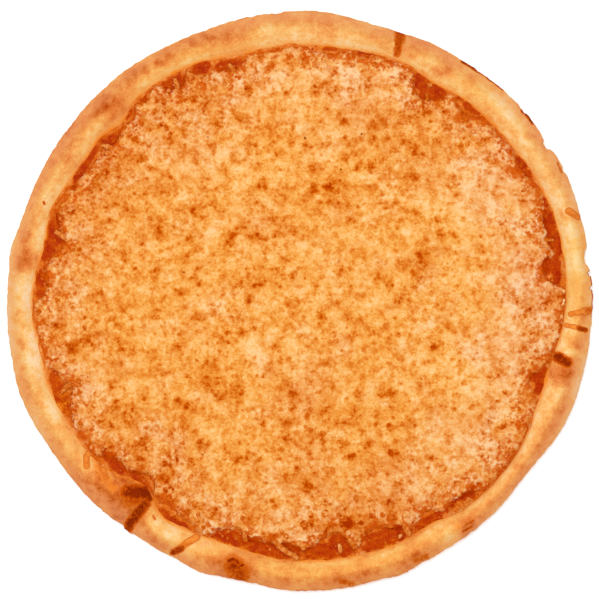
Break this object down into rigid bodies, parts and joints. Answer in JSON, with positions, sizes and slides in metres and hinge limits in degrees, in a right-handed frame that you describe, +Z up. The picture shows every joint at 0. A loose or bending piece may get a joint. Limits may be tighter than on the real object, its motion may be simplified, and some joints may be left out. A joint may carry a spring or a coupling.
{
  "type": "cheese pizza",
  "caption": "Whole uncut cheese pizza: round thin base with a puffed, blistered rim, tomato sauce showing round a ragged layer of melted browned cheese.",
  "frame": {"origin": "on the surface it lies on, under the middle of the pizza", "axes": "+Z up, out of the cheese; +Y towards the top of the picture and +X towards its right"},
  "size_m": [0.3558, 0.3526, 0.0158],
  "materials": {
    "crust": "baked dough, dry, browned on the outer side",
    "sauce": "wet baked tomato sauce",
    "cheese": "melted cheese, oily, with browned spots"
  },
  "bodies": {
    "root": {"crust": "crust", "sauce": "sauce", "cheese": "cheese", "cheese_scrap_1": "cheese", "cheese_scrap_2": "cheese", "cheese_scrap_3": "cheese"}
  },
  "joints": []
}
